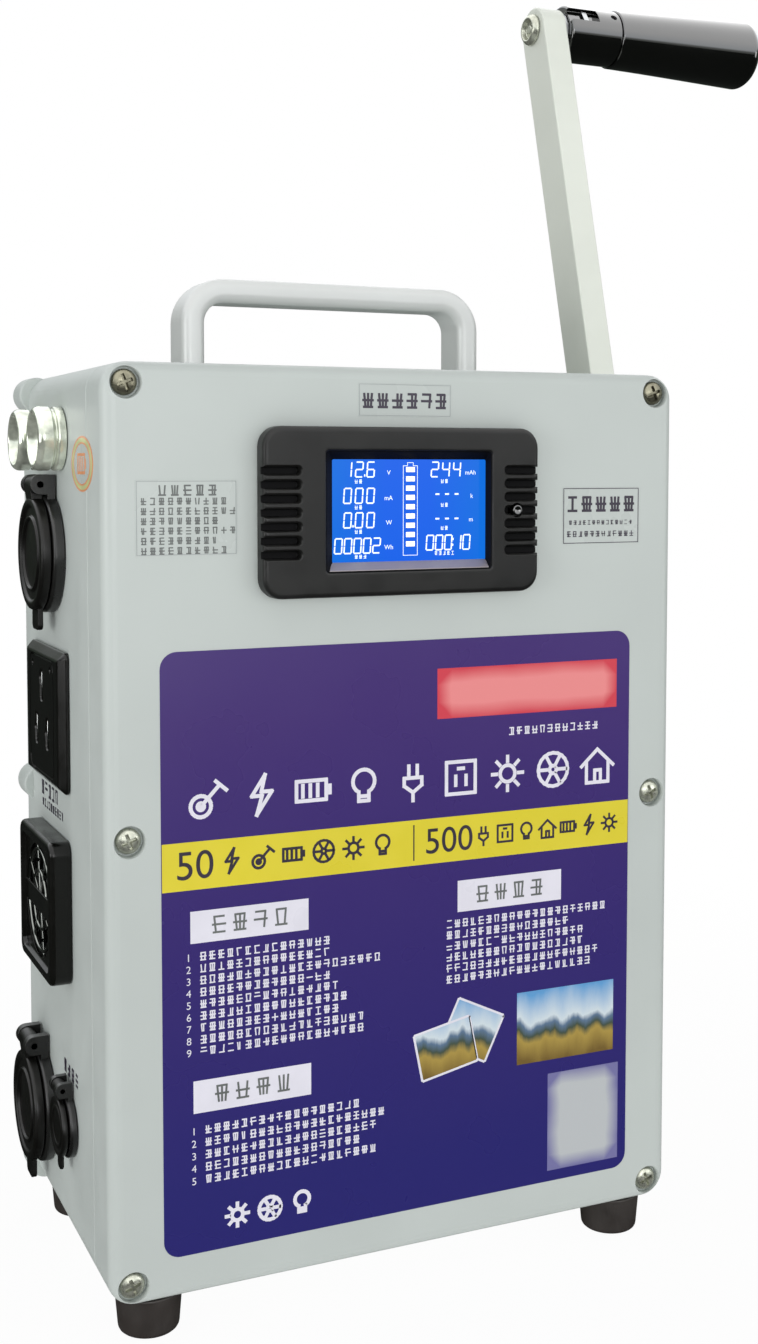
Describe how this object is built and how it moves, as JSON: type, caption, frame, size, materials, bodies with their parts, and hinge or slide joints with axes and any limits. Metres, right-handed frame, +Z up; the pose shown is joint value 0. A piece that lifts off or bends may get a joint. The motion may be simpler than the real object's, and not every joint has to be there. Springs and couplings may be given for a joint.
{
  "type": "hand crank generator",
  "caption": "Portable hand crank generator: upright grey case with a meter in the lid, carry handle, lamps, capped sockets, mains outlet and fan guard on the left and a long crank on the right",
  "frame": {"origin": "middle of the flat underside of the case, between the four feet", "axes": "+X towards the side with the crank, +Y towards the back, -Y the lid with the meter, +Z up"},
  "size_m": [0.3048, 0.1215, 0.431],
  "materials": {
    "housing_grey": "smooth satin moulding",
    "gasket_rubber": "matt",
    "zinc_steel": "zinc plated",
    "foot_rubber": "matt",
    "handle_aluminium": "satin",
    "arm_aluminium": "satin anodised",
    "black_plastic": "fine satin",
    "grip_plastic": "polished",
    "lamp_chrome": "polished",
    "lamp_lens": "clear",
    "screen_glass": "lit from behind",
    "circuit_board": "solder mask",
    "pack_plastic": "shrink film",
    "gear_nylon": "moulded nylon",
    "steel": "machined"
  },
  "bodies": {
    "housing": {"housing_body": "housing_grey", "front_lid": "housing_grey", "lid_gasket": "gasket_rubber", "lid_screw_1": "zinc_steel", "lid_screw_2": "zinc_steel", "lid_screw_3": "zinc_steel", "lid_screw_4": "zinc_steel", "lid_screw_5": "zinc_steel", "lid_screw_6": "zinc_steel", "foot_1": "foot_rubber", "foot_2": "foot_rubber", "foot_3": "foot_rubber", "foot_4": "foot_rubber", "foot_screw_1": "zinc_steel", "foot_screw_2": "zinc_steel", "foot_screw_3": "zinc_steel", "foot_screw_4": "zinc_steel", "carry_handle": "handle_aluminium", "handle_screw_1": "zinc_steel", "handle_screw_2": "zinc_steel", "meter_bezel": "black_plastic", "meter_lcd": "screen_glass", "meter_board": "circuit_board", "lamp_housing_1": "lamp_chrome", "lamp_lens_1": "lamp_lens", "lamp_nut_1": "steel", "lamp_housing_2": "lamp_chrome", "lamp_lens_2": "lamp_lens", "lamp_nut_2": "steel", "power_socket": "black_plastic", "power_hinge_pin": "steel", "usb_socket": "black_plastic", "usb_hinge_pin": "steel", "jack_socket": "black_plastic", "jack_hinge_pin": "steel", "mains_outlet": "black_plastic", "fan_guard": "black_plastic", "fan_frame": "black_plastic", "bearing_flange": "black_plastic", "gearbox_outer_plate": "steel", "gearbox_inner_plate": "steel", "generator_housing": "steel", "battery_pack": "pack_plastic", "inverter_board": "circuit_board"},
    "crank": {"crank_shaft": "steel", "hub_screw": "zinc_steel", "crank_arm": "arm_aluminium", "arm_bolt": "zinc_steel", "grip_axle": "steel", "drive_gear": "gear_nylon"},
    "grip": {"grip_collar": "grip_plastic", "grip_sleeve": "grip_plastic", "grip_key": "steel"},
    "idler": {"idler_gear": "gear_nylon"},
    "rotor": {"generator_rotor": "steel"},
    "fan": {"fan_rotor": "black_plastic"},
    "power_cap": {"power_cover": "foot_rubber"},
    "usb_cap": {"usb_cover": "foot_rubber"},
    "jack_cap": {"jack_cover": "foot_rubber"},
    "button": {"meter_button": "black_plastic"}
  },
  "joints": [
    {"name": "crank_spin", "type": "hinge", "parent": "housing", "child": "crank", "pos_m": [0.1038, 0, 0.225], "axis": [1, 0, 0], "continuous": true},
    {"name": "grip_spin", "type": "hinge", "parent": "crank", "child": "grip", "pos_m": [0.15, 0.0484, 0.40563], "axis": [1, 0, 0], "continuous": true},
    {"name": "idler_spin", "type": "hinge", "parent": "housing", "child": "idler", "pos_m": [0.0711, 0, 0.1875], "axis": [1, 0, 0], "continuous": true},
    {"name": "rotor_spin", "type": "hinge", "parent": "housing", "child": "rotor", "pos_m": [0.03, 0, 0.225], "axis": [1, 0, 0], "continuous": true},
    {"name": "fan_spin", "type": "hinge", "parent": "housing", "child": "fan", "pos_m": [-0.085, 0.00975, 0.10475], "axis": [1, 0, 0], "continuous": true},
    {"name": "power_cap_hinge", "type": "hinge", "parent": "housing", "child": "power_cap", "pos_m": [-0.0992, 0.009, 0.236], "axis": [0, 1, 0], "range_deg": [0, 110]},
    {"name": "usb_cap_hinge", "type": "hinge", "parent": "housing", "child": "usb_cap", "pos_m": [-0.0992, 0.0285, 0.0535], "axis": [0, 1, 0], "range_deg": [0, 110]},
    {"name": "jack_cap_hinge", "type": "hinge", "parent": "housing", "child": "jack_cap", "pos_m": [-0.0976, -0.0075, 0.0502], "axis": [0, 1, 0], "range_deg": [0, 110]},
    {"name": "button_press", "type": "slide", "parent": "housing", "child": "button", "axis": [0, 1, 0], "range_m": [0, 0.0008], "stiffness_N_per_m": 400, "springref_m": -0.0004}
  ],
  "couplings": [
    {"joint": "idler_spin", "follows": "crank_spin", "ratio": -2.5714},
    {"joint": "rotor_spin", "follows": "crank_spin", "ratio": 8.1429}
  ]
}
